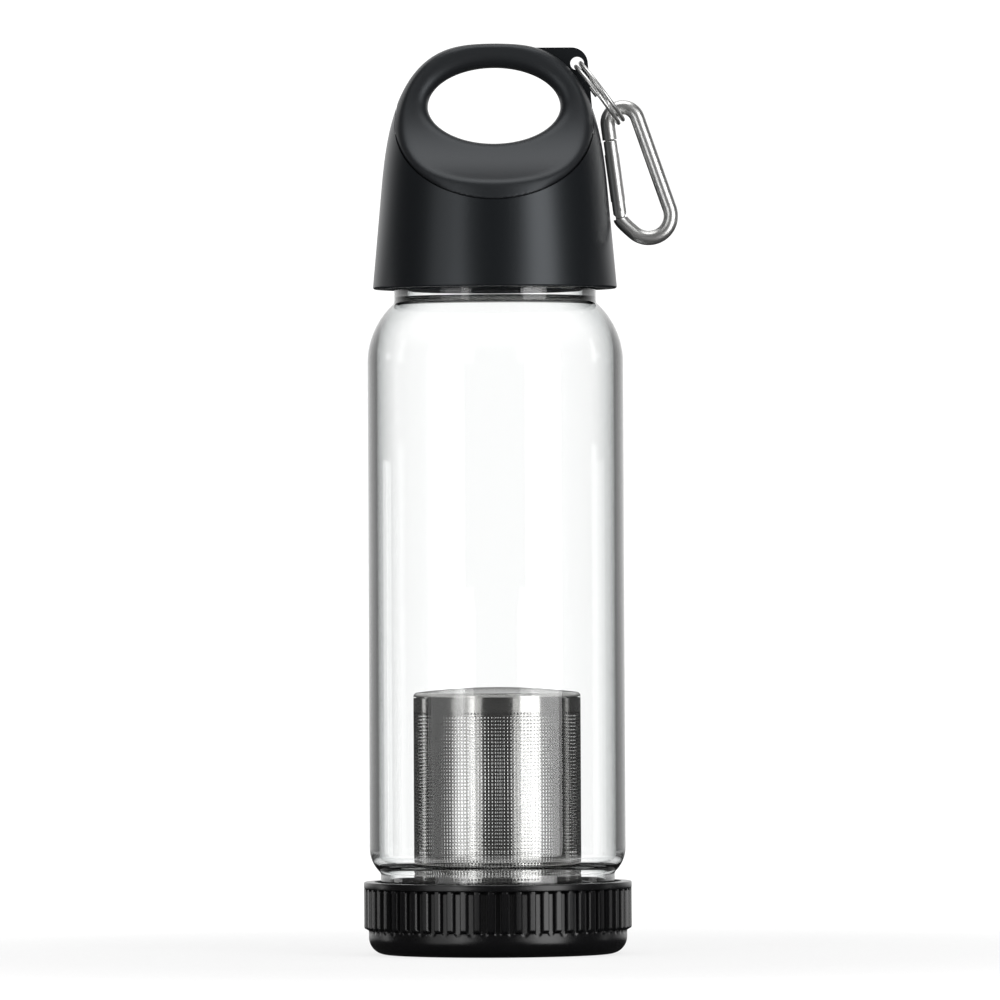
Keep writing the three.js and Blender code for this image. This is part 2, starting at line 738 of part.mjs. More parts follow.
// The ring hangs in the lug's hole. Its group's X axis runs from the hole to the far side of the ring.
const ringRadius = (ringDiameter - ringWire) / 2;
const ringGroup = new THREE.Group();
ringGroup.position.set(lugHole.x, 0, lugHole.z);
ringGroup.rotation.y = ringHang;
model.add(ringGroup);
const ringCurve = new SplitRingCurve();
const ringGeometry = wire(ringCurve, ringWire / 2, 46, 6).translate(ringSlack + ringRadius, 0, 0);
addPart(ringGroup, 'split_ring', ringGeometry, colours.chrome);
printTurnGap('split_ring', ringCurve, ringWire, 2);

// The carabiner hangs on the far side of the ring and leans against the lid
const hangReach = ringSlack + 2 * ringRadius;
const carabiner = new THREE.Group();
carabiner.position.set(
  lugHole.x + hangReach * Math.cos(ringHang), 0, lugHole.z - hangReach * Math.sin(ringHang));
carabiner.rotation.y = -carabinerLean;
model.add(carabiner);
addPart(carabiner, 'carabiner_frame', geometryOf(makeCarabinerFrame()), colours.chrome);
addPart(carabiner, 'carabiner_gate', geometryOf(makeCarabinerGate()), colours.chrome);
addPart(carabiner, 'carabiner_rivet',
  geometryOf(crossBar(gateX, rivetZ, rivetRadius, carabinerWire)), colours.chrome);
addPart(carabiner, 'carabiner_latch_pin',
  geometryOf(crossBar(gateX, latchPinZ, latchPinRadius, carabinerWire - 2 * slotGap)), colours.chrome);
addPart(carabiner, 'carabiner_plunger', geometryOf(makePlunger()), colours.steel);
const springCurve = new SpringCurve();
const springGeometry = wire(springCurve, springWire / 2, springTurns * 8, 5)
  .translate(gateX, 0, springFoot + springWire / 2);
addPart(carabiner, 'carabiner_spring', springGeometry, colours.steel);
printTurnGap('carabiner_spring', springCurve, springWire, springTurns);

export default model;
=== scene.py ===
"""Looks of a glass tea infuser tumbler. Each piece is modelled in the place of its solid, in metres."""
import json
import math

import bpy
from mathutils import Matrix, Quaternion, Vector


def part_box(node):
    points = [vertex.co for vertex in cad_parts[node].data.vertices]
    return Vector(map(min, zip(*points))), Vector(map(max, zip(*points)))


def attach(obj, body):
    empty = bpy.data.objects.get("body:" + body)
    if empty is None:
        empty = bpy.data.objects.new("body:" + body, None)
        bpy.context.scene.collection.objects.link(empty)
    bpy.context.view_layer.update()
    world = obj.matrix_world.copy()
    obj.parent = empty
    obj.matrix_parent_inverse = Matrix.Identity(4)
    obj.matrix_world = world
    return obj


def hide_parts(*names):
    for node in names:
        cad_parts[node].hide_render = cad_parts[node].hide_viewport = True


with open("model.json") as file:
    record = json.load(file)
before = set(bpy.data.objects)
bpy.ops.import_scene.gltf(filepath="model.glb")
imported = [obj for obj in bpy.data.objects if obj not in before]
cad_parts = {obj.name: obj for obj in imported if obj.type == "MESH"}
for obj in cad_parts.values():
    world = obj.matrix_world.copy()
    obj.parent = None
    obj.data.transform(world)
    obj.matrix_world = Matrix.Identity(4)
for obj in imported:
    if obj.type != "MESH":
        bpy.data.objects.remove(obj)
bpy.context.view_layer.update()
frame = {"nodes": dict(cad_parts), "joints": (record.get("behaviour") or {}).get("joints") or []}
mm = 0.001

# Stage: a white studio. The camera stands far off with a long lens, level with the lower half of the bottle,
# and looks up a little.
picture_width = 273.4 * mm
camera_distance = 2.9
camera_side = 1.1 * mm
camera_height = 107.6 * mm
aim_height = 124 * mm
camera_roll = math.radians(-0.28)

bpy.ops.object.select_all(action="DESELECT")
bpy.ops.object.camera_add(location=(camera_side, -camera_distance, camera_height))
camera = bpy.context.object
camera.name = "camera"
line_of_sight = Vector((camera_side, 0, aim_height)) - camera.location
turn_to_aim = line_of_sight.to_track_quat("-Z", "Y") @ Quaternion((0, 0, 1), camera_roll)
camera.rotation_euler = turn_to_aim.to_euler()
camera.data.lens = camera.data.sensor_width * camera_distance / picture_width
camera.data.clip_end = 20
scene = bpy.context.scene
scene.camera = camera
scene.view_settings.view_transform = "Standard"


def add_node(tree, kind, values=None, **settings):
    """Adds a shader node with its settings and the values of its unlinked inputs."""
    node = tree.nodes.new(kind)
    for name, value in settings.items():
        setattr(node, name, value)
    for name, value in (values or {}).items():
        node.inputs[name].default_value = value
    return node


def over_zero(tree, socket):
    """1 where a count of bounces is above zero."""
    test = add_node(tree, "ShaderNodeMath", {1: 0.5}, operation="GREATER_THAN")
    tree.links.new(socket, test.inputs[0])
    return test.outputs[0]


def mix_values(tree, factor, low, high):
    """Mixes two values, each a number or a socket, by a socket."""
    mix = add_node(tree, "ShaderNodeMix", data_type="FLOAT")
    tree.links.new(factor, mix.inputs[0])
    for place, value in ((2, low), (3, high)):
        if isinstance(value, (int, float)):
            mix.inputs[place].default_value = value
        else:
            tree.links.new(value, mix.inputs[place])
    return mix.outputs[0]


# World: white to the eye and through the glass, but for a dim ceiling. Light that is reflected inside the
# glass finds a room that is dim at eye level and white above, which draws the tube's edges. Other reflections
# see one that is white behind the bottle and dark elsewhere, and diffuse surfaces get an even fill.
backdrop_level = 1.15
ceiling_level = 0.2
edge_level = 0.1
room_dark = 0.02
fill_level = 0.22
horizon_fade = 0.1
room_white_from = 0.4
ceiling_from = 0.15
ceiling_to = 0.45
eye_level_to = 0.05
white_above_from = 0.35

world = bpy.data.worlds.new("studio")
scene.world = world
world.use_nodes = True
tree = world.node_tree
tree.nodes.clear()
direction = add_node(tree, "ShaderNodeTexCoord")
parts = add_node(tree, "ShaderNodeSeparateXYZ")
tree.links.new(direction.outputs["Generated"], parts.inputs[0])
above = add_node(
    tree, "ShaderNodeMapRange",
    {"From Min": -horizon_fade, "From Max": 0, "To Min": room_dark, "To Max": backdrop_level})
tree.links.new(parts.outputs["Z"], above.inputs["Value"])
room = add_node(
    tree, "ShaderNodeMapRange", {"From Min": room_white_from, "From Max": 1, "To Min": room_dark},
    interpolation_type="SMOOTHSTEP")
tree.links.new(parts.outputs["Y"], room.inputs["Value"])
tree.links.new(above.outputs["Result"], room.inputs["To Max"])
backdrop = add_node(
    tree, "ShaderNodeMapRange",
    {"From Min": ceiling_from, "From Max": ceiling_to, "To Min": backdrop_level, "To Max": ceiling_level})
tree.links.new(parts.outputs["Z"], backdrop.inputs["Value"])
world_ray = add_node(tree, "ShaderNodeLightPath")
mirrored = over_zero(tree, world_ray.outputs["Glossy Depth"])
scattered = over_zero(tree, world_ray.outputs["Diffuse Depth"])
refracted = over_zero(tree, world_ray.outputs["Transmission Depth"])
seen = mix_values(tree, mirrored, backdrop_level, room.outputs["Result"])
seen = mix_values(tree, refracted, seen, backdrop.outputs["Result"])
inside_glass = add_node(tree, "ShaderNodeMath", operation="MULTIPLY")
tree.links.new(mirrored, inside_glass.inputs[0])
tree.links.new(refracted, inside_glass.inputs[1])
inner_room = add_node(
    tree, "ShaderNodeMapRange",
    {"From Min": eye_level_to, "From Max": white_above_from, "To Min": edge_level, "To Max": backdrop_level})
tree.links.new(parts.outputs["Z"], inner_room.inputs["Value"])
seen = mix_values(tree, inside_glass.outputs[0], seen, inner_room.outputs["Result"])
level = mix_values(tree, scattered, seen, fill_level)
background = add_node(tree, "ShaderNodeBackground", {"Color": (1, 1, 1, 1)})
tree.links.new(level, background.inputs["Strength"])
output = add_node(tree, "ShaderNodeOutputWorld")
tree.links.new(background.outputs[0], output.inputs[0])


# Lamps: a strong tall soft box to the right of the camera, a weaker one with a strip light beside it to the
# left, two low boxes and two low strips that light the basket, and a box overhead.
def soft_box(name, azimuth, height, width, length, level, distance=1.2):
    """An area lamp that faces the bottle, with its azimuth from the camera. level is its brightness."""
    turn = math.radians(azimuth)
    place = Vector((distance * math.sin(turn), -distance * math.cos(turn), height))
    bpy.ops.object.light_add(type="AREA", location=place)
    lamp = bpy.context.object
    lamp.name = name
    lamp.rotation_euler = (Vector((0, 0, aim_height)) - place).to_track_quat("-Z", "Y").to_euler()
    lamp.data.shape = "RECTANGLE"
    lamp.data.size = width
    lamp.data.size_y = length
    lamp.data.energy = level * math.pi * width * length
    lamp.visible_camera = False


soft_box("right_box", azimuth=46, height=0.2, width=0.6, length=1.3, level=3.8)
soft_box("left_box", azimuth=-50, height=0.2, width=0.6, length=1.3, level=1)
soft_box("left_strip", azimuth=-34, height=0.2, width=0.18, length=1.3, level=2.2)
soft_box("left_low_strip", azimuth=-118, height=0, width=0.16, length=0.3, level=1.8)
soft_box("right_low_strip", azimuth=110, height=0, width=0.16, length=0.3, level=0.9)
soft_box("left_low_box", azimuth=-28, height=-0.03, width=0.3, length=0.25, level=1.8)
soft_box("right_low_box", azimuth=27, height=-0.03, width=0.25, length=0.25, level=1.8)
soft_box("top_box", azimuth=0, height=1.3, width=1, length=1, level=2.4, distance=0.05)

# Floor: a pale disc that takes the bottle's soft shadow and fades into the white world. It glows to the eye
# and through the glass. It is left out of reflections, so that the gloss base stays dark.
floor_radius = 0.42
shadow_radius = 0.1
floor_drop = 0.1 * mm
floor_glow = 0.8

bpy.ops.object.select_all(action="DESELECT")
bpy.ops.mesh.primitive_circle_add(
    vertices=96, radius=floor_radius, fill_type="NGON", location=(0, 0, -floor_drop))
floor = bpy.context.object
floor.name = "floor"
floor_material = bpy.data.materials.new("pale_floor")
floor_material.use_nodes = True
tree = floor_material.node_tree
tree.nodes.clear()
spot = add_node(tree, "ShaderNodeTexCoord")
reach = add_node(tree, "ShaderNodeVectorMath", operation="LENGTH")
tree.links.new(spot.outputs["Object"], reach.inputs[0])
fade = add_node(
    tree, "ShaderNodeMapRange", {"From Min": shadow_radius, "From Max": floor_radius},
    interpolation_type="SMOOTHSTEP")
tree.links.new(reach.outputs["Value"], fade.inputs["Value"])
paint = add_node(tree, "ShaderNodeBsdfDiffuse", {"Color": (0.93, 0.93, 0.93, 1)})
glow = add_node(tree, "ShaderNodeEmission")
floor_ray = add_node(tree, "ShaderNodeLightPath")
viewed = add_node(tree, "ShaderNodeMath", operation="MAXIMUM")
tree.links.new(floor_ray.outputs["Is Camera Ray"], viewed.inputs[0])
tree.links.new(floor_ray.outputs["Is Transmission Ray"], viewed.inputs[1])
glow_share = add_node(tree, "ShaderNodeMath", {1: floor_glow}, operation="MULTIPLY")
tree.links.new(viewed.outputs[0], glow_share.inputs[0])
paper = add_node(tree, "ShaderNodeMixShader")
tree.links.new(glow_share.outputs[0], paper.inputs[0])
tree.links.new(paint.outputs[0], paper.inputs[1])
tree.links.new(glow.outputs[0], paper.inputs[2])
no_floor = add_node(tree, "ShaderNodeBsdfTransparent")
floor_surface = add_node(tree, "ShaderNodeMixShader")
tree.links.new(fade.outputs["Result"], floor_surface.inputs[0])
tree.links.new(paper.outputs[0], floor_surface.inputs[1])
tree.links.new(no_floor.outputs[0], floor_surface.inputs[2])
output = add_node(tree, "ShaderNodeOutputMaterial")
tree.links.new(floor_surface.outputs[0], output.inputs["Surface"])
floor.data.materials.append(floor_material)
floor.visible_glossy = False


# Base cap: a gloss black moulded bowl that screws onto the glass. Grooves with round lower ends leave 60 grip
# ribs under a plain flange, and a thread runs round the inside.
def arc_points(across, up, radius, start, end, steps):
    """Points on an arc about (across, up), with its angles in degrees."""
    angles = [math.radians(start + (end - start) * step / steps) for step in range(steps + 1)]
    return [(across + radius * math.cos(angle), up + radius * math.sin(angle)) for angle in angles]


def rows(radius, start, end, count):
    """Points on an upright line, ends included, for a wall that is shaped further after it is turned."""
    return [(radius, start + (end - start) * step / count) for step in range(count + 1)]


weld_distance = 0.0001 * mm


def turned(name, outline, steps, closed=True):
    """Draws an outline of (radius, height) points from vertex to vertex and spins it about the axis."""
    bpy.ops.object.select_all(action="DESELECT")
    bpy.ops.mesh.primitive_plane_add(size=mm)
    piece = bpy.context.object
    piece.name = name
    bpy.ops.object.mode_set(mode="EDIT")
    bpy.ops.mesh.select_all(action="SELECT")
    bpy.ops.mesh.merge(type="CENTER")
    bpy.ops.transform.translate(value=(outline[0][0], 0, outline[0][1]))
    targets = outline[1:] + outline[:1] if closed else outline[1:]
    for (radius, height), (next_radius, next_height) in zip(outline, targets):
        step = (next_radius - radius, 0, next_height - height)
        bpy.ops.mesh.extrude_region_move(TRANSFORM_OT_translate={"value": step})
    bpy.ops.mesh.select_all(action="SELECT")
    bpy.ops.mesh.remove_doubles(threshold=weld_distance)
    bpy.ops.mesh.select_all(action="SELECT")
    bpy.ops.mesh.spin(steps=steps, angle=2 * math.pi, center=(0, 0, 0), axis=(0, 0, 1))
    bpy.ops.mesh.select_all(action="SELECT")
    bpy.ops.mesh.remove_doubles(threshold=weld_distance)
    bpy.ops.mesh.normals_make_consistent(inside=False)
    bpy.ops.object.mode_set(mode="OBJECT")
    return piece


def move_out(piece, shift):
    """Moves each vertex away from the bottle's axis by shift(radius, angle, height)."""
    for vertex in piece.data.vertices:
        radius = math.hypot(vertex.co.x, vertex.co.y)
        if radius > mm:
            angle = math.atan2(vertex.co.y, vertex.co.x)
            growth = 1 + shift(radius, angle, vertex.co.z) / radius
            vertex.co.x *= growth
            vertex.co.y *= growth


def smooth_step(low, high, value):
    """0 below low, 1 above high and a smooth rise between them."""
    rise = min(1.0, max(0.0, (value - low) / (high - low)))
    return rise * rise * (3 - 2 * rise)


thread_lead = 6 * mm
thread_half_width = 1.5 * mm
thread_run_out = 0.1
thread_flank = 0.7


def thread_ridge(angle, height, start, turns):
    """Height of a right-handed thread ridge, from 0 to 1, with ends that run out."""
    ridge = 0.0
    for lap in range(math.ceil(turns) + 1):
        wound = angle % (2 * math.pi) / (2 * math.pi) + lap
        off_centre = abs(height - start - thread_lead * wound)
        ends = smooth_step(0, thread_run_out, wound) * smooth_step(0, thread_run_out, turns - wound)
        ridge = max(ridge, ends * smooth_step(0, thread_flank, 1 - off_centre / thread_half_width))
    return ridge


def shade_smooth(piece, angle=30):
    """Smooth shading, with sharp edges kept above that angle in degrees."""
    bpy.ops.object.select_all(action="DESELECT")
    piece.select_set(True)
    bpy.context.view_layer.objects.active = piece
    bpy.ops.object.shade_smooth_by_angle(angle=math.radians(angle))


def surface(name, colour, roughness, **values):
    """A Principled material with its constants set directly. A further input is named with underscores."""
    material = bpy.data.materials.new(name)
    material.use_nodes = True
    shader = material.node_tree.nodes["Principled BSDF"]
    shader.inputs["Base Color"].default_value = (*colour, 1)
    shader.inputs["Roughness"].default_value = roughness
    for key, value in values.items():
        shader.inputs[key.replace("_", " ").title()].default_value = value
    return material


base_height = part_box("base_cap")[1][2]
flange_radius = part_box("base_cap")[1][0]
rib_count = 60
steps_per_rib = 12
rib_depth = 1.25 * mm
bowl_radius = flange_radius - 1.3 * mm
bowl_corner = 4.7 * mm
bowl_inner = bowl_radius - 1.6 * mm
flange_underside = base_height - 1.9 * mm
flange_edge = 0.35 * mm
rib_foot = 6.4 * mm
rib_slope = 0.9 * mm
groove_half_width = 0.85 * mm
groove_end = rib_foot - 0.5 * mm
groove_depth = 0.2 * mm
groove_softness = 0.2 * mm
base_floor = 2.6 * mm
ledge_height = 6.4 * mm
ledge_inner = bowl_inner - 4.7 * mm
boss_inner = 24.6 * mm
boss_outer = 26 * mm
boss_top = 8.6 * mm
base_thread_start = 8.2 * mm
base_thread_turns = 1.8
base_thread_depth = 1.1 * mm
wall_tolerance = 0.01 * mm

base_outline = [
    (0, 0),
    *arc_points(bowl_radius - bowl_corner, bowl_corner, bowl_corner, -90, 0, 14)[:-1],
    *rows(bowl_radius, bowl_corner, flange_underside, 44),
    *arc_points(flange_radius - flange_edge, flange_underside + flange_edge, flange_edge, -90, 0, 3),
    *arc_points(flange_radius - flange_edge, base_height - flange_edge, flange_edge, 0, 90, 4),
    *rows(bowl_inner, base_height, ledge_height, 32),
    (ledge_inner, ledge_height),
    (ledge_inner, base_floor),
    (boss_outer, base_floor),
    (boss_outer, boss_top),
    (boss_inner, boss_top),
    (boss_inner, base_floor),
    (0, base_floor),
]


def base_relief(radius, angle, height):
    """Ribs and grooves on the outside of the bowl, and the thread on its inside."""
    if abs(radius - bowl_inner) < wall_tolerance:
        return -base_thread_depth * thread_ridge(angle, height, base_thread_start, base_thread_turns)
    if abs(radius - bowl_radius) > wall_tolerance or height < groove_end - mm:
        return 0
    rib_angle = 2 * math.pi / rib_count
    sideways = bowl_radius * (angle - rib_angle * round(angle / rib_angle))
    below_round_end = max(0, groove_end + groove_half_width - height)
    past_edge = math.hypot(sideways, below_round_end) - groove_half_width
    past_edge = max(past_edge, height - flange_underside + groove_softness)
    groove = smooth_step(-groove_softness, groove_softness, -past_edge)
    rib = rib_depth * smooth_step(rib_foot, rib_foot + rib_slope, height)
    return rib * (1 - groove) - groove_depth * groove


base_cap = turned("base_cap_moulding", base_outline, steps=rib_count * steps_per_rib, closed=False)
move_out(base_cap, base_relief)
shade_smooth(base_cap, angle=40)
base_plastic = surface("gloss_black_plastic", (0.004, 0.004, 0.0045), 0.27)
base_cap.data.materials.append(base_plastic)
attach(base_cap, "base")
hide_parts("base_cap")

# Base gasket: a flat ring of pale silicone on the base's ledge, under the lower rim of the glass. It is
# moulded with rounded edges, and the glass presses it down.
gasket_width = 4.4 * mm
gasket_edge = 0.4 * mm


def gasket_ring(name, node):
    """A flat ring with rounded edges in the place of a gasket's solid."""
    low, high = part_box(node)
    edge = gasket_edge
    inner = high[0] - gasket_width
    return turned(name, [
        *arc_points(inner + edge, low[2] + edge, edge, 180, 270, 4),
        *arc_points(high[0] - edge, low[2] + edge, edge, 270, 360, 4),
        *arc_points(high[0] - edge, high[2] - edge, edge, 0, 90, 4),
        *arc_points(inner + edge, high[2] - edge, edge, 90, 180, 4),
    ], steps=160)


silicone = surface("clear_silicone", (0.72, 0.72, 0.7), 0.45)
base_gasket = gasket_ring("base_gasket_ring", "base_gasket")
shade_smooth(base_gasket)
base_gasket.data.materials.append(silicone)
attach(base_gasket, "base_seal")
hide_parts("base_gasket")

# Infuser collar: a satin black moulded ring that stands in the base's boss. Its lip carries the basket, and
# its flange is the finger hold that lifts it out.
collar_low, collar_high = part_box("infuser_collar")
collar_outer = collar_high[0] - 1.9 * mm
collar_inner = collar_outer - 1.15 * mm
collar_lip_inner = collar_inner - 1.6 * mm
collar_lip_top = collar_low[2] + 1.1 * mm
collar_flange_underside = collar_high[2] - 1.5 * mm
collar_edge = 0.3 * mm

collar = turned("infuser_collar_ring", [
    (collar_lip_inner, collar_low[2]),
    (collar_outer - collar_edge, collar_low[2]),
    (collar_outer, collar_low[2] + collar_edge),
    (collar_outer, collar_flange_underside),
    (collar_high[0] - collar_edge, collar_flange_underside),
    (collar_high[0], collar_flange_underside + collar_edge),
    *arc_points(collar_high[0] - collar_edge, collar_high[2] - collar_edge, collar_edge, 0, 90, 4),
    (collar_inner + collar_edge, collar_high[2]),
    (collar_inner, collar_high[2] - collar_edge),
    (collar_inner, collar_lip_top),
    (collar_lip_inner, collar_lip_top),
], steps=160)
shade_smooth(collar)
cool_gloss = (0.9, 0.95, 1, 1)
lid_plastic = surface("satin_black_plastic", (0.005, 0.006, 0.0072), 0.34, specular_tint=cool_gloss)
collar.data.materials.append(lid_plastic)
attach(collar, "infuser")
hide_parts("infuser_collar")

# Infuser sleeve: thin stainless sheet, rolled and seam welded, with a square grid of fine holes between a
# plain band at the top and one at the foot. It stands in the collar.
sleeve_low, sleeve_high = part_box("infuser_sleeve")
sheet_thickness = 0.15 * mm
hole_pitch = 0.96 * mm
hole_size = 0.57 * mm
plain_band_top = 66.6 * mm
hole_rows = 54
hole_columns = 150
column_step = math.pi / hole_columns

sleeve_outline = [(sleeve_high[0], sleeve_low[2])]
for row in range(hole_rows):
    hole_foot = plain_band_top - hole_pitch * (hole_rows - row)
    sleeve_outline.append((sleeve_high[0], hole_foot))
    sleeve_outline.append((sleeve_high[0], hole_foot + hole_size))
sleeve_outline.append((sleeve_high[0], sleeve_high[2]))

sleeve = turned("infuser_sleeve_sheet", sleeve_outline, steps=2 * hole_columns, closed=False)
hole_heights = [height + hole_size / 2 for _, height in sleeve_outline[1:-1:2]]
bpy.ops.object.mode_set(mode="EDIT")
bpy.ops.mesh.select_mode(type="FACE")
bpy.ops.mesh.select_all(action="DESELECT")
bpy.ops.object.mode_set(mode="OBJECT")
for face in sleeve.data.polygons:
    centre = face.center
    column = math.floor(math.atan2(centre.y, centre.x) / column_step)
    row = round((centre.z - hole_heights[0]) / hole_pitch)
    in_row = 0 <= row < hole_rows and abs(centre.z - hole_heights[row]) < hole_size / 4
    face.select = in_row and column % 2 == 0
bpy.ops.object.mode_set(mode="EDIT")
bpy.ops.mesh.delete(type="FACE")
bpy.ops.mesh.select_mode(type="VERT")
bpy.ops.object.mode_set(mode="OBJECT")
widening = (hole_size / sleeve_high[0] - column_step) / 2
for vertex in sleeve.data.vertices:
    column = round(math.atan2(vertex.co.y, vertex.co.x) / column_step)
    vertex.co.rotate(Matrix.Rotation(widening if column % 2 else -widening, 3, "Z"))
solidify = sleeve.modifiers.new("sheet", "SOLIDIFY")
solidify.thickness = sheet_thickness
solidify.offset = -1
bpy.ops.object.modifier_apply(modifier=solidify.name)
shade_smooth(sleeve)
steel = surface("bright_stainless", (0.3, 0.297, 0.29), 0.14, metallic=1)
sleeve.data.materials.append(steel)
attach(sleeve, "infuser")
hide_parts("infuser_sleeve")

# Infuser cap: a pressed stainless end with a rounded shoulder and a shallow dome. Its spigot is pushed into
# the sleeve's top.
cap_low, cap_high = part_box("infuser_cap")
cap_shoulder = 1.2 * mm
cap_wall = 0.4 * mm
cap_steps = 16
cap_seat = sleeve_high[2] + 0.3 * mm
cap_rise = cap_high[2] - cap_seat - cap_shoulder
cap_flat_radius = cap_high[0] - cap_shoulder
spigot_radius = cap_high[0] - 2 * cap_wall


def cap_dome(drop):
    """The dome's outline from its shoulder to the axis."""
    reaches = [(step + 1) / cap_steps for step in range(cap_steps)]
    return [
        (cap_flat_radius * (1 - reach), cap_seat + cap_shoulder - drop + cap_rise * (1 - (1 - reach) ** 2))
        for reach in reaches]


infuser_cap = turned("infuser_cap_pressing", [
    *cap_dome(cap_wall)[::-1],
    (spigot_radius - cap_wall, cap_seat),
    (spigot_radius - cap_wall, cap_low[2]),
    (spigot_radius, cap_low[2]),
    (spigot_radius, cap_seat),
    *arc_points(cap_flat_radius, cap_seat, cap_shoulder, 0, 90, 8),
    *cap_dome(0),
], steps=192, closed=False)
shade_smooth(infuser_cap, angle=50)
infuser_cap.data.materials.append(steel)
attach(infuser_cap, "infuser")
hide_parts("infuser_cap")

# Glass body: one clear tube, necked in at both ends to threaded necks with fire-polished rims. At the foot of
# the upper neck its wall is a thick wedge that shows as a dark line. It is screwed into the base and carries
# the lid.
glass_low, glass_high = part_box("glass_body")
glass_radius = glass_high[0]
glass_wall = 2.5 * mm
lower_neck_radius = glass_radius - 3 * mm
lower_neck_top = glass_low[2] + 12.8 * mm
upper_neck_radius = 27.6 * mm
upper_neck_wall = 3.6 * mm
inner_foot_rise = 1.1 * mm
upper_neck_foot = glass_high[2] - 15.4 * mm
glass_thread_depth = 0.9 * mm
lower_thread_start = glass_low[2] + 2.2 * mm
upper_thread_start = glass_high[2] - 11 * mm
glass_thread_turns = 1.2


def glass_wall_line(inset, heel, heel_fillet, shoulder, shoulder_fillet, neck_radius, neck_foot):
    """The wall's line from the lower neck to the foot of the upper one, by the radii of its arcs."""
    lower_fillet_across = lower_neck_radius - inset + heel_fillet
    heel_across = glass_radius - inset - heel
    heel_reach = heel + heel_fillet
    heel_turn = math.acos((lower_fillet_across - heel_across) / heel_reach)
    heel_up = lower_neck_top + heel_reach * math.sin(heel_turn)
    upper_fillet_across = neck_radius + shoulder_fillet
    shoulder_across = glass_radius - inset - shoulder
    shoulder_reach = shoulder + shoulder_fillet
    shoulder_turn = math.acos((upper_fillet_across - shoulder_across) / shoulder_reach)
    shoulder_up = neck_foot - shoulder_reach * math.sin(shoulder_turn)
    heel_degrees = math.degrees(heel_turn)
    shoulder_degrees = math.degrees(shoulder_turn)
    return [
        *arc_points(lower_fillet_across, lower_neck_top, heel_fillet, 180, 180 - heel_degrees, 10),
        *arc_points(heel_across, heel_up, heel, -heel_degrees, 0, 24)[1:],
        *arc_points(shoulder_across, shoulder_up, shoulder, 0, shoulder_degrees, 40),
        *arc_points(upper_fillet_across, neck_foot, shoulder_fillet, 180 + shoulder_degrees, 180, 12)[1:],
    ]


lower_rim = glass_wall / 2
upper_rim = upper_neck_wall / 2
outer_wall = glass_wall_line(
    0, heel=9 * mm, heel_fillet=1.2 * mm, shoulder=21.9 * mm, shoulder_fillet=1.5 * mm,
    neck_radius=upper_neck_radius, neck_foot=upper_neck_foot)
inner_wall = glass_wall_line(
    glass_wall, heel=4.5 * mm, heel_fillet=3.7 * mm, shoulder=20 * mm, shoulder_fillet=1 * mm,
    neck_radius=upper_neck_radius - upper_neck_wall, neck_foot=upper_neck_foot + inner_foot_rise)
glass_outline = [
    *arc_points(lower_neck_radius - lower_rim, glass_low[2] + lower_rim, lower_rim, 180, 360, 12)[:-1],
    *rows(lower_neck_radius, glass_low[2] + lower_rim, lower_neck_top, 30)[:-1],
    *outer_wall,
    *rows(upper_neck_radius, upper_neck_foot, glass_high[2] - upper_rim, 36)[1:],
    *arc_points(upper_neck_radius - upper_rim, glass_high[2] - upper_rim, upper_rim, 0, 180, 12)[1:],
    *inner_wall[::-1],
]


def glass_threads(radius, angle, height):
    """The threads on the outside of the two necks."""
    if abs(radius - lower_neck_radius) < wall_tolerance:
        return glass_thread_depth * thread_ridge(angle, height, lower_thread_start, glass_thread_turns)
    if abs(radius - upper_neck_radius) < wall_tolerance:
        return glass_thread_depth * thread_ridge(angle, height, upper_thread_start, glass_thread_turns)
    return 0


glass_body = turned("glass_tube", glass_outline, steps=256)
move_out(glass_body, glass_threads)
shade_smooth(glass_body, angle=60)

# Clear glass with painted shade: grey at a slant, to draw dark edges. Shadow rays pass straight through it
edge_shade_from = 0.35
edge_shade_full = 0.85
glass_material = bpy.data.materials.new("clear_glass")
glass_material.use_nodes = True
tree = glass_material.node_tree
shader = tree.nodes["Principled BSDF"]
facing = add_node(tree, "ShaderNodeLayerWeight", {"Blend": 0.5})
slant = add_node(
    tree, "ShaderNodeMapRange", {"From Min": edge_shade_from, "From Max": edge_shade_full},
    interpolation_type="SMOOTHSTEP")
tree.links.new(facing.outputs["Facing"], slant.inputs["Value"])
# painted shade: the glass colour goes grey towards its slanting edges, standing in for dark surroundings seen
# through it
painted_edge_shade = add_node(tree, "ShaderNodeMix", data_type="RGBA")
painted_edge_shade.inputs[6].default_value = (0.985, 0.99, 0.988, 1)
painted_edge_shade.inputs[7].default_value = (0.68, 0.71, 0.71, 1)
tree.links.new(slant.outputs["Result"], painted_edge_shade.inputs[0])
tree.links.new(painted_edge_shade.outputs[2], shader.inputs["Base Color"])
shader.inputs["Roughness"].default_value = 0
shader.inputs["IOR"].default_value = 1.47
shader.inputs["Transmission Weight"].default_value = 1
through = add_node(tree, "ShaderNodeBsdfTransparent", {"Color": (0.93, 0.94, 0.94, 1)})
glass_ray = add_node(tree, "ShaderNodeLightPath")
glass_surface = add_node(tree, "ShaderNodeMixShader")
tree.links.new(glass_ray.outputs["Is Shadow Ray"], glass_surface.inputs[0])
tree.links.new(shader.outputs[0], glass_surface.inputs[1])
tree.links.new(through.outputs[0], glass_surface.inputs[2])
tree.links.new(glass_surface.outputs[0], tree.nodes["Material Output"].inputs["Surface"])
glass_body.data.materials.append(glass_material)
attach(glass_body, "glass")
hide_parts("glass_body")

# Lid gasket: a flat ring of the same silicone, moulded with rounded edges. It lies between the upper rim of
# the glass and the liner.
lid_gasket = gasket_ring("lid_gasket_ring", "lid_gasket")
shade_smooth(lid_gasket)
lid_gasket.data.materials.append(silicone)
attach(lid_gasket, "lid_seal")
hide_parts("lid_gasket")

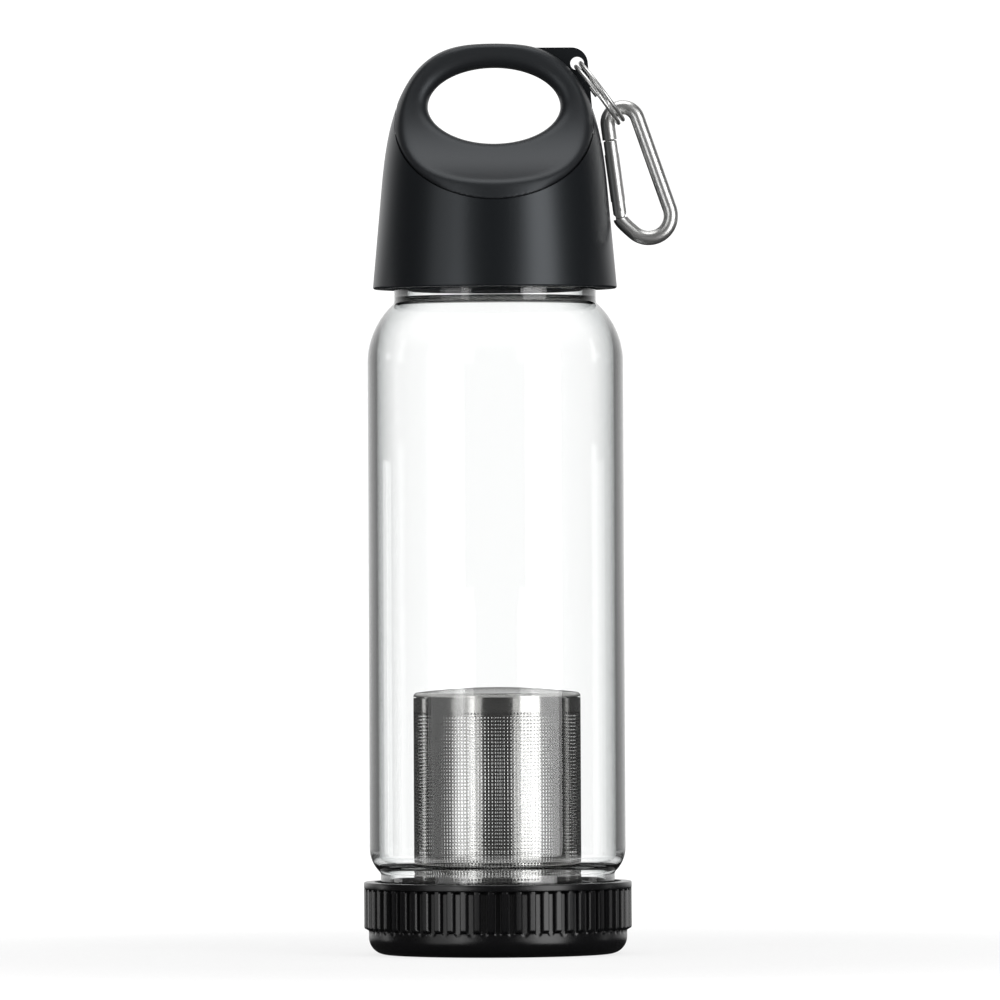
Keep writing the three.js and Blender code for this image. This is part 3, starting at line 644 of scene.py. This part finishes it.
# Lid liner: a satin black moulded cup with the lid's thread on its inside. It is pressed into the shell, and
# its ceiling presses on the lid's gasket.
liner_low, liner_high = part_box("lid_liner")
liner_inner = liner_high[0] - 1.2 * mm
liner_ceiling = liner_high[2] - 1.8 * mm
liner_thread_start = upper_thread_start - thread_lead / 2
liner_thread_turns = 2.2
liner_thread_depth = 0.7 * mm


def liner_thread(radius, angle, height):
    """The thread on the liner's inside."""
    if abs(radius - liner_inner) > wall_tolerance:
        return 0
    return -liner_thread_depth * thread_ridge(angle, height, liner_thread_start, liner_thread_turns)


liner = turned("lid_liner_cup", [
    (0, liner_ceiling),
    *rows(liner_inner, liner_ceiling, liner_low[2], 40),
    (liner_high[0], liner_low[2]),
    (liner_high[0], liner_high[2]),
    (0, liner_high[2]),
], steps=200, closed=False)
move_out(liner, liner_thread)
shade_smooth(liner, angle=50)
liner.data.materials.append(lid_plastic)
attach(liner, "lid")
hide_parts("lid_liner")

# Lid shell: a satin black moulding, a drafted skirt that closes in a dome with a finger loop through it. It
# holds the liner, the grip is moulded over its loop, and a flat lug on the right takes the split ring.
shell_low, shell_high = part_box("lid_shell")
grip_low, grip_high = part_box("lid_grip")
lid_bottom = shell_low[2]
lid_top = grip_high[2]
lid_radius = shell_high[0]
lid_draft = 0.0885
lid_edge = 0.6 * mm
dome_foot = lid_bottom + 24.3 * mm
dome_power = 3
dome_steps = 48
lid_steps = 200
loop_half_thickness = 7.5 * mm
dish_radius = 38 * mm
dish_height = lid_top - 3.6 * mm
hole_half_height = 10.8 * mm
hole_rim = 3 * mm
rim_steps = 12
hole_steps = 160
dish_steps = 360
loop_side = 8.4 * mm
hole_height = lid_top - 6.2 * mm - hole_half_height
grip_thickness = 1.6 * mm
grip_gap = 0.12 * mm
core_bottom = lid_bottom + 12 * mm
grip_middle = hole_height - 5.6 * mm
grip_flank = 1.3 * mm
grip_flank_rise = 6 * mm
grip_headroom = 1.4 * mm
grip_steps = 64
skirt_inner = 30.3 * mm
crown_foot = liner_high[2] + 0.3 * mm
crown_radius = skirt_inner - 3.2 * mm
crown_height = 15.5 * mm
lug_thickness = 3.6 * mm
lug_foot = lid_top - 17.3 * mm
lug_top = lid_top - mm
lug_corner = 4.5 * mm
lug_lean = 0.09
lug_root_depth = 16.5 * mm
lug_hole_radius = 1.9 * mm
lug_hole_inset = 4 * mm
lug_hole_height = lug_top - 4.35 * mm


def lid_radius_at(height):
    """The lid's outer radius at a height."""
    rise = min(1.0, max(0.0, (height - dome_foot) / (lid_top - dome_foot)))
    drafted = lid_radius - lid_draft * (height - lid_bottom)
    return drafted * (1 - rise ** dome_power) ** (1 / dome_power)


def lid_form(name, inset, bottom):
    """The lid's outer form without its loop, offset inwards all round."""
    dome_rise = lid_top - dome_foot - inset
    dome = []
    for step in range(dome_steps):
        turn = math.pi / 2 * step / dome_steps
        height = dome_foot + dome_rise * math.sin(turn) ** (2 / dome_power)
        drafted = lid_radius - inset - lid_draft * (height - lid_bottom)
        dome.append((drafted * math.cos(turn) ** (2 / dome_power), height))
    foot_radius = lid_radius - inset - lid_draft * (bottom - lid_bottom)
    return turned(name, [
        (0, bottom),
        (foot_radius - lid_edge, bottom),
        *arc_points(foot_radius - lid_edge, bottom + lid_edge, lid_edge, -90, 0, 5)[1:],
        *dome,
        (0, dome_foot + dome_rise),
    ], steps=lid_steps, closed=False)


def boolean(piece, operation, *others):
    """Joins or cuts a piece with others, which are then deleted."""
    bpy.ops.object.select_all(action="DESELECT")
    bpy.context.view_layer.objects.active = piece
    for other in others:
        modifier = piece.modifiers.new("cut", "BOOLEAN")
        modifier.operation = operation
        modifier.solver = "EXACT"
        modifier.object = other
        bpy.ops.object.modifier_apply(modifier=modifier.name)
        bpy.data.objects.remove(other)


def cross_cylinder(name, across, up, half_width, half_height, length, vertices):
    """A bar along Y with an elliptical section in the front view."""
    bpy.ops.object.select_all(action="DESELECT")
    bpy.ops.mesh.primitive_cylinder_add(
        vertices=vertices, radius=1, depth=length, rotation=(math.pi / 2, 0, 0))
    bar = bpy.context.object
    bar.name = name
    bpy.ops.object.transform_apply(rotation=True)
    bpy.ops.object.mode_set(mode="EDIT")
    bpy.ops.mesh.select_all(action="SELECT")
    bpy.ops.transform.resize(value=(half_width, 1, half_height), center_override=(0, 0, 0))
    bpy.ops.transform.translate(value=(across, 0, up))
    bpy.ops.object.mode_set(mode="OBJECT")
    return bar


def plate(name, outline, thickness):
    """A flat plate in the middle plane: a closed outline of (across, up) points, with a thickness along Y."""
    bpy.ops.object.select_all(action="DESELECT")
    bpy.ops.mesh.primitive_circle_add(vertices=len(outline), fill_type="NGON")
    piece = bpy.context.object
    piece.name = name
    for vertex, (across, up) in zip(piece.data.vertices, outline):
        vertex.co = (across, -thickness / 2, up)
    bpy.ops.object.mode_set(mode="EDIT")
    bpy.ops.mesh.select_all(action="SELECT")
    bpy.ops.mesh.extrude_region_move(TRANSFORM_OT_translate={"value": (0, thickness, 0)})
    bpy.ops.mesh.select_all(action="SELECT")
    bpy.ops.mesh.normals_make_consistent(inside=False)
    bpy.ops.object.mode_set(mode="OBJECT")
    return piece


hole_half_width = lid_radius_at(hole_height) - loop_side
right_through = 4 * lid_radius


def finger_hole(inset):
    """A cutter for the finger hole, larger by inset."""
    return cross_cylinder(
        "hole", 0, hole_height, hole_half_width + inset, hole_half_height + inset, right_through, hole_steps)


def dish(side, inset):
    """A cutter for the dish at the front (-1) or the back (1), larger by inset."""
    bpy.ops.object.select_all(action="DESELECT")
    bpy.ops.mesh.primitive_cylinder_add(
        vertices=dish_steps, radius=dish_radius + inset, depth=right_through, rotation=(0, math.pi / 2, 0),
        location=(0, side * (dish_radius + loop_half_thickness), dish_height))
    cutter = bpy.context.object
    bpy.ops.object.transform_apply(location=True, rotation=True)
    return cutter


def lid_with_loop(name, inset, bottom):
    """The lid's outer form with its loop, offset inwards all round."""
    form = lid_form(name, inset, bottom)
    boolean(form, "DIFFERENCE", dish(-1, inset), dish(1, inset), finger_hole(inset))
    return form


def rim_cutter(side):
    """What a ball takes off as it rolls round the hole's rim, between its wall and the dish on that side."""
    dish_axis = Vector((0, side * (dish_radius + loop_half_thickness), dish_height))
    sections = []
    for station in range(hole_steps):
        angle = 2 * math.pi * station / hole_steps
        cosine = math.cos(angle)
        sine = math.sin(angle)
        rim = Vector((hole_half_width * cosine, 0, hole_height + hole_half_height * sine))
        outward = Vector((hole_half_height * cosine, 0, hole_half_width * sine)).normalized()
        centre = rim + outward * hole_rim
        ball_reach = (dish_radius + hole_rim) ** 2 - (centre.z - dish_axis.z) ** 2
        centre.y = dish_axis.y - side * math.sqrt(ball_reach)
        rim.y = dish_axis.y - side * math.sqrt(dish_radius ** 2 - (rim.z - dish_axis.z) ** 2)
        to_dish = Vector((0, dish_axis.y - centre.y, dish_axis.z - centre.z)).normalized()
        spokes = [(-outward).slerp(to_dish, step / rim_steps) for step in range(rim_steps + 1)]
        arc = [centre + hole_rim * spoke for spoke in spokes]
        sections += [*arc, arc[-1] + to_dish * mm, rim + (to_dish - outward) * mm, arc[0] - outward * mm]
    bpy.ops.object.select_all(action="DESELECT")
    bpy.ops.mesh.primitive_torus_add(
        major_segments=hole_steps, minor_segments=len(sections) // hole_steps)
    cutter = bpy.context.object
    for vertex, point in zip(cutter.data.vertices, sections):
        vertex.co = point
    bpy.ops.object.mode_set(mode="EDIT")
    bpy.ops.mesh.select_all(action="SELECT")
    bpy.ops.mesh.normals_make_consistent(inside=False)
    bpy.ops.object.mode_set(mode="OBJECT")
    return cutter


def grip_zone(growth):
    """The outline that the grip fills in the front view, as a plate right through the lid."""
    half_width = lid_radius_at(grip_middle) - grip_flank + growth
    drop = grip_middle - grip_low[2] + growth
    right = []
    for step in range(grip_steps + 1):
        turn = math.pi * (step / grip_steps - 0.5)
        if turn < 0:
            right.append((half_width * math.cos(turn), grip_middle + drop * math.sin(turn)))
        else:
            rise = (lid_top - grip_middle) * math.sin(turn)
            flank = grip_flank * (1 - rise / grip_flank_rise)
            right.append((lid_radius_at(grip_middle + rise) - flank + growth, grip_middle + rise))
    right.append((right[-1][0], lid_top + grip_headroom))
    left = [(-across, up) for across, up in right[:0:-1]]
    return plate("zone", right + left, right_through)


lug_edge = lid_radius_at(lug_foot)
lug_hole_across = lug_edge - lug_hole_inset


def lug_plate(growth):
    """The lug's plate, rooted in the right side of the loop. Its edge leans in like the lid's side."""
    root = lug_edge - lug_root_depth
    lean = math.atan(lug_lean)
    corner_up = lug_top - lug_corner
    corner_across = lug_edge - lug_lean * (corner_up - lug_foot) - lug_corner / math.cos(lean)
    return plate("lug", [
        (root - growth, lug_foot - growth),
        (lug_edge + growth * (lug_lean + 1 / math.cos(lean)), lug_foot - growth),
        *arc_points(corner_across, corner_up, lug_corner + growth, math.degrees(lean), 90, 16),
        (root - growth, lug_top + growth),
    ], lug_thickness + 2 * growth)


core_inset = grip_thickness + grip_gap
lug = lug_plate(0)
boolean(lug, "DIFFERENCE", finger_hole(core_inset))
lid_shell = lid_with_loop("lid_shell_moulding", 0, lid_bottom)
boolean(lid_shell, "DIFFERENCE", grip_zone(grip_gap))
boolean(lid_shell, "UNION", lid_with_loop("core", core_inset, core_bottom), lug)
crown = arc_points(0, 0, 1, 0, 90, 20)
hollow = turned("hollow", [
    (0, lid_bottom - mm),
    (skirt_inner, lid_bottom - mm),
    (skirt_inner, crown_foot),
    *[(crown_radius * across, crown_foot + crown_height * up) for across, up in crown],
], steps=lid_steps, closed=False)
lug_eye = cross_cylinder(
    "eye", lug_hole_across, lug_hole_height, lug_hole_radius, lug_hole_radius, 4 * lug_thickness, 64)
boolean(lid_shell, "DIFFERENCE", hollow, lug_eye)
shade_smooth(lid_shell, angle=30)
lid_shell.data.materials.clear()
lid_shell.data.materials.append(lid_plastic)
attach(lid_shell, "lid")
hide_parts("lid_shell")

# Lid grip: soft dark grey rubber, moulded over the loop's core about as thick as a coin. The rims of the
# finger hole are rolled, and the ridges beside the dishes are eased by smoothing.
grip_voxel = 0.42 * mm
grip_proud = 0.1 * mm
ridge_reach = 3.2 * mm
skin_passes = 6
ridge_passes = 90

lid_grip = lid_with_loop("lid_grip_skin", -grip_proud, lid_bottom)
boolean(lid_grip, "DIFFERENCE", rim_cutter(-1), rim_cutter(1))
boolean(lid_grip, "INTERSECT", grip_zone(0))
slot_for_lug = lug_plate(grip_gap)
boolean(lid_grip, "DIFFERENCE", lid_with_loop("core", grip_thickness, core_bottom), slot_for_lug)
bpy.context.view_layer.objects.active = lid_grip
remesh = lid_grip.modifiers.new("even", "REMESH")
remesh.mode = "VOXEL"
remesh.voxel_size = grip_voxel
bpy.ops.object.modifier_apply(modifier=remesh.name)
ridge = lid_grip.vertex_groups.new(name="ridge")
for vertex in lid_grip.data.vertices:
    across, along, up = vertex.co
    from_dish_axis = math.hypot(abs(along) - dish_radius - loop_half_thickness, up - dish_height)
    off_dish = abs(from_dish_axis - dish_radius)
    off_dome = abs(math.hypot(across, along) - lid_radius_at(up))
    off_top = abs(lid_top - up)
    off_side = min(off_dome, off_top)
    if min(off_dish, off_side) < grip_thickness / 2:
        nearness = smooth_step(0, ridge_reach / 2, ridge_reach - max(off_dish, off_side))
        ridge.add([vertex.index], nearness, "REPLACE")
for group, iterations in (("", skin_passes), (ridge.name, ridge_passes)):
    ease = lid_grip.modifiers.new("ease", "SMOOTH")
    ease.factor = 0.5
    ease.iterations = iterations
    ease.vertex_group = group
    bpy.ops.object.modifier_apply(modifier=ease.name)
shade_smooth(lid_grip, angle=180)
soft_grip = surface("soft_grey_rubber", (0.0105, 0.0115, 0.013), 0.45, specular_tint=cool_gloss)
lid_grip.data.materials.clear()
lid_grip.data.materials.append(soft_grip)
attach(lid_grip, "lid")
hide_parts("lid_grip")

# Split ring: two turns of polished wire that step across to the second layer in a short jog. It hangs in the
# lug's hole.
pivots = {joint["name"]: Vector(joint["pos_m"]) for joint in frame["joints"] if "pos_m" in joint}
ring_wire = 1.1 * mm
ring_radius = 9.7 * mm
ring_pitch = 1.55 * mm
ring_jog = math.radians(40)
ring_slack = 0.4 * mm
ring_steps = 240


def wire(name, points, radius):
    """Round wire along points, with flat ends."""
    line = bpy.data.curves.new(name, "CURVE")
    line.dimensions = "3D"
    line.bevel_depth = radius
    line.bevel_resolution = 6
    line.use_fill_caps = True
    run = line.splines.new("POLY")
    run.points.add(len(points) - 1)
    for target, point in zip(run.points, points):
        target.co = (*point, 1)
    piece = bpy.data.objects.new(name, line)
    bpy.context.collection.objects.link(piece)
    bpy.ops.object.select_all(action="DESELECT")
    piece.select_set(True)
    bpy.context.view_layer.objects.active = piece
    bpy.ops.object.convert(target="MESH")
    piece = bpy.context.object
    bpy.ops.object.mode_set(mode="EDIT")
    bpy.ops.mesh.select_all(action="SELECT")
    bpy.ops.mesh.remove_doubles(threshold=weld_distance)
    bpy.ops.mesh.normals_make_consistent(inside=False)
    bpy.ops.object.mode_set(mode="OBJECT")
    return piece


hang = (pivots["carabiner_swing"] - pivots["ring_swing"]).normalized()
ring_centre = pivots["ring_swing"] + hang * (ring_slack + ring_radius)
ring_normal = Vector((-hang.z, 0, hang.x))
ring_points = []
for step in range(ring_steps + 1):
    wound = step / ring_steps * (4 * math.pi - ring_jog)
    layer = smooth_step(2 * math.pi - ring_jog, 2 * math.pi, wound) - 0.5
    angle = math.pi / 2 + wound
    across = hang * (ring_radius * math.cos(angle)) + Vector((0, ring_radius * math.sin(angle), 0))
    ring_points.append(ring_centre + across + ring_normal * (ring_pitch * layer))

split_ring = wire("split_ring_wire", ring_points, ring_wire / 2)
shade_smooth(split_ring, angle=50)
bright_metal = surface("polished_metal", (0.7, 0.7, 0.69), 0.36, metallic=1)
split_ring.data.materials.append(bright_metal)
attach(split_ring, "ring")
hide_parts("split_ring")

# Carabiner frame: one polished wire, bent round an arch and a wider bow. Its nose ends in a flat hook for the
# gate's pin, and its heel in a flat drilled tongue for the rivet. It hangs on the split ring.
carabiner_wire = 4 * mm
carabiner_lean = math.radians(7.5)
arch_radius = 4.2 * mm
arch_centre = (0.5 * mm, -0.45 * mm)
bow_radius = 6.1 * mm
bow_centre = (4 * mm, -26.6 * mm)
heel_angle = math.radians(222)
gate_line = arch_centre[0] - arch_radius
nose_end = -4.6 * mm
gate_top = -4.9 * mm
gate_bottom = -26.1 * mm
rivet_up = -24.1 * mm
latch_up = -6.4 * mm
frame_end = -26.4 * mm
tongue_thickness = 1.3 * mm
tongue_half = 1.3 * mm
pin_radius = 0.5 * mm
rivet_radius = 0.7 * mm
slot_gap = 0.2 * mm
rivet_clearance = 0.1 * mm
heel_root = 2 * mm
hook_root = mm
hang_point = pivots["carabiner_swing"]
carabiner_place = Matrix.Translation(hang_point) @ Matrix.Rotation(-carabiner_lean, 4, "Y")


def hung(piece):
    """Moves a piece from the carabiner's own plane to where the carabiner hangs."""
    piece.data.transform(carabiner_place)


reach_across = bow_centre[0] - arch_centre[0]
reach_up = bow_centre[1] - arch_centre[1]
arm_angle = math.degrees(
    math.atan2(reach_up, reach_across)
    + math.acos((arch_radius - bow_radius) / math.hypot(reach_across, reach_up)))
heel_degrees = math.degrees(heel_angle) - 360
bow = arc_points(*bow_centre, bow_radius, arm_angle, heel_degrees, 40)
heel_run = (bow[-1][0] - gate_line) / abs(math.sin(heel_angle))
heel_corner = (gate_line, bow[-1][1] + heel_run * abs(math.cos(heel_angle)))
heel_steps = 16
heel_knots = [Vector(knot) for knot in (bow[-1], heel_corner, (gate_line, frame_end))]
heel_bend = []
for step in range(1, heel_steps + 1):
    part = step / heel_steps
    first = heel_knots[0].lerp(heel_knots[1], part)
    second = heel_knots[1].lerp(heel_knots[2], part)
    heel_bend.append(tuple(first.lerp(second, part)))
frame_line = [
    *rows(gate_line, nose_end, arch_centre[1], 4)[:-1],
    *arc_points(*arch_centre, arch_radius, 180, arm_angle, 40),
    *bow,
    *heel_bend,
]
frame_points = [(across, 0, up) for across, up in frame_line]
carabiner_frame = wire("carabiner_frame_wire", frame_points, carabiner_wire / 2)

notch_top = latch_up + pin_radius + slot_gap
notch_bottom = latch_up - pin_radius - slot_gap
notch_depth = gate_line - pin_radius - slot_gap
hook_end = notch_bottom - tongue_half
hook = plate("hook", [
    (gate_line - tongue_half, hook_end + tongue_half / 2),
    (gate_line - tongue_half / 2, hook_end),
    (gate_line + tongue_half, notch_bottom - slot_gap),
    (gate_line + tongue_half, notch_bottom),
    (notch_depth, notch_bottom),
    (notch_depth, notch_top),
    (gate_line + tongue_half, notch_top),
    (gate_line + tongue_half, nose_end + hook_root),
    (gate_line - tongue_half, nose_end + hook_root),
], tongue_thickness)
heel = plate("heel", [
    (gate_line - tongue_half, frame_end - heel_root),
    (gate_line + tongue_half, frame_end - heel_root),
    *arc_points(gate_line, rivet_up, carabiner_wire / 2 - slot_gap, -45, 225, 24),
], tongue_thickness)
rivet_hole = rivet_radius + rivet_clearance
boolean(heel, "DIFFERENCE", cross_cylinder(
    "rivet_hole", gate_line, rivet_up, rivet_hole, rivet_hole, carabiner_wire, 32))
boolean(carabiner_frame, "UNION", hook, heel)
hung(carabiner_frame)
shade_smooth(carabiner_frame, angle=40)
carabiner_frame.data.materials.clear()
carabiner_frame.data.materials.append(bright_metal)
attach(carabiner_frame, "carabiner")
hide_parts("carabiner_frame")

# Carabiner gate: a polished rod, forked at its top for the hook and at its foot for the heel. It turns on a
# rivet, and a spring and a plunger in its bore push it shut.
gate_edge = 0.35 * mm
latch_slot_depth = 3.7 * mm
heel_slot_depth = 4.6 * mm
bore_radius = 1.15 * mm
bore_top = -11.9 * mm
gate_radius = carabiner_wire / 2


def slot_cutter(up, depth):
    """A cutter for a fork's slot, centred on an end of the gate."""
    bpy.ops.object.select_all(action="DESELECT")
    bpy.ops.mesh.primitive_cube_add(size=1)
    cutter = bpy.context.object
    bpy.ops.object.mode_set(mode="EDIT")
    bpy.ops.mesh.select_all(action="SELECT")
    size = (3 * carabiner_wire, tongue_thickness + 2 * slot_gap, 2 * depth)
    bpy.ops.transform.resize(value=size, center_override=(0, 0, 0))
    bpy.ops.transform.translate(value=(gate_line, 0, up))
    bpy.ops.object.mode_set(mode="OBJECT")
    return cutter


gate = turned("carabiner_gate_rod", [
    (0, gate_bottom),
    (gate_radius, gate_bottom),
    *arc_points(gate_radius - gate_edge, gate_top - gate_edge, gate_edge, 0, 90, 6),
    (0, gate_top),
], steps=64, closed=False)
bore = turned("bore", [
    (0, rivet_up),
    (bore_radius, rivet_up),
    (bore_radius, bore_top),
    (0, bore_top),
], steps=32, closed=False)
boolean(gate, "DIFFERENCE", bore)
gate.data.transform(Matrix.Translation((gate_line, 0, 0)))
foot_rounding = plate("foot_rounding", [
    (gate_line - 2 * gate_radius, gate_top + mm),
    (gate_line - 2 * gate_radius, gate_bottom - mm),
    (gate_line - gate_radius, gate_bottom - mm),
    *arc_points(gate_line, rivet_up, gate_radius, 180, 360, 24),
    (gate_line + 2 * gate_radius, rivet_up),
    (gate_line + 2 * gate_radius, gate_top + mm),
], 3 * carabiner_wire)
boolean(gate, "INTERSECT", foot_rounding)
boolean(
    gate, "DIFFERENCE",
    slot_cutter(gate_top, latch_slot_depth),
    slot_cutter(gate_bottom, heel_slot_depth))
hung(gate)
shade_smooth(gate, angle=40)
gate.data.materials.clear()
gate.data.materials.append(bright_metal)
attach(gate, "gate")
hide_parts("carabiner_gate")

# Rivet and latch pin: turned pins across the gate, in the same polished metal. The rivet is flush with the
# gate, and the pin catches in the hook.
pin_edge = 0.15 * mm


def cross_pin(name, up, radius, length):
    """A pin along Y with rounded ends."""
    edge = pin_edge
    pin = turned(name, [
        (0, -length / 2),
        *arc_points(radius - edge, -length / 2 + edge, edge, -90, 0, 4),
        *arc_points(radius - edge, length / 2 - edge, edge, 0, 90, 4),
        (0, length / 2),
    ], steps=32, closed=False)
    pin.data.transform(Matrix.Translation((gate_line, 0, up)) @ Matrix.Rotation(math.pi / 2, 4, "X"))
    hung(pin)
    shade_smooth(pin, angle=40)
    pin.data.materials.append(bright_metal)
    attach(pin, "gate")
    return pin


rivet = cross_pin("carabiner_rivet_pin", rivet_up, rivet_radius, carabiner_wire)
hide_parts("carabiner_rivet")
latch_pin = cross_pin("carabiner_latch_cross_pin", latch_up, pin_radius, carabiner_wire - 2 * slot_gap)
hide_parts("carabiner_latch_pin")

# Plunger and spring: a turned plunger and a coil, both steel. They are hidden in the gate's bore, so their
# solids are shown as they are.
for node in ("carabiner_plunger", "carabiner_spring"):
    frame["nodes"][node].data.materials.clear()
    frame["nodes"][node].data.materials.append(steel)
